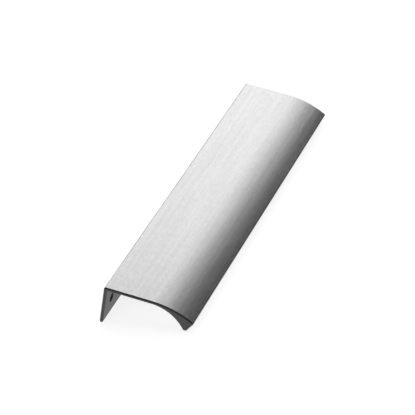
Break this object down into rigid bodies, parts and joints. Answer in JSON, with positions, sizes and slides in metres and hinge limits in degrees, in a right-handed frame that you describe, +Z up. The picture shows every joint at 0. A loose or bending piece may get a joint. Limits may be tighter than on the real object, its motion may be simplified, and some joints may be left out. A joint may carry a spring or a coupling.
{
  "type": "handleless finger pull profile",
  "caption": "Extruded aluminium edge pull: a drilled screw flange, a flat top plate and a thick curved lip with a finger hollow, for the top edge of a drawer or door front.",
  "frame": {"origin": "on the floor under the middle of the profile as it lies at rest on the flange's lower edge and the tip of the lip", "axes": "+Y along the length, +X across the profile from the screw flange towards the lip, +Z up; the top plate slopes down to the lip"},
  "size_m": [0.0426, 0.2, 0.0176],
  "materials": {
    "brushed_aluminium": "brushed along the length and clear anodised"
  },
  "bodies": {
    "root": {"pull_profile": "brushed_aluminium"}
  },
  "joints": []
}
